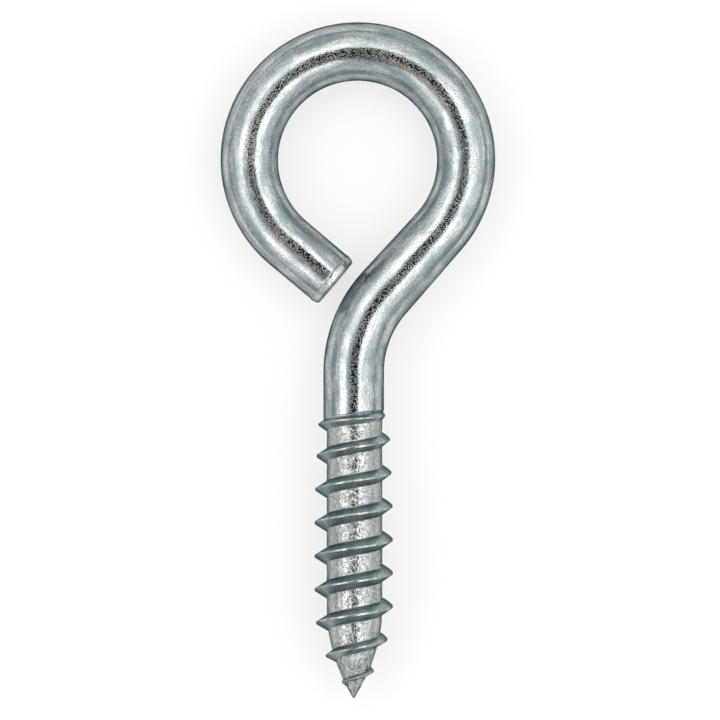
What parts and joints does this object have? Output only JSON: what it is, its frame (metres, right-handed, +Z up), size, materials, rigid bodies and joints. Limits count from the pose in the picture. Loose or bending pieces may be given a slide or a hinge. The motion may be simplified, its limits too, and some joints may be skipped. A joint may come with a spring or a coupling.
{
  "type": "screw eye",
  "caption": "Open-ended eye bent from round zinc-plated steel wire, with a tapering wood screw thread rolled on its straight shank.",
  "frame": {"origin": "on the surface that it lies on, below the middle of its bounding box", "axes": "+Y along the screw from the point to the eye, +Z up and across the eye's plane, +X across the eye, towards the side that the neck leans to"},
  "size_m": [0.0272, 0.067, 0.0079],
  "materials": {
    "zinc_plate": "bright zinc plating over drawn wire: smooth and mirror-like across, with fine lengthwise grain and specks"
  },
  "bodies": {
    "root": {"screw_eye": "zinc_plate"}
  },
  "joints": []
}
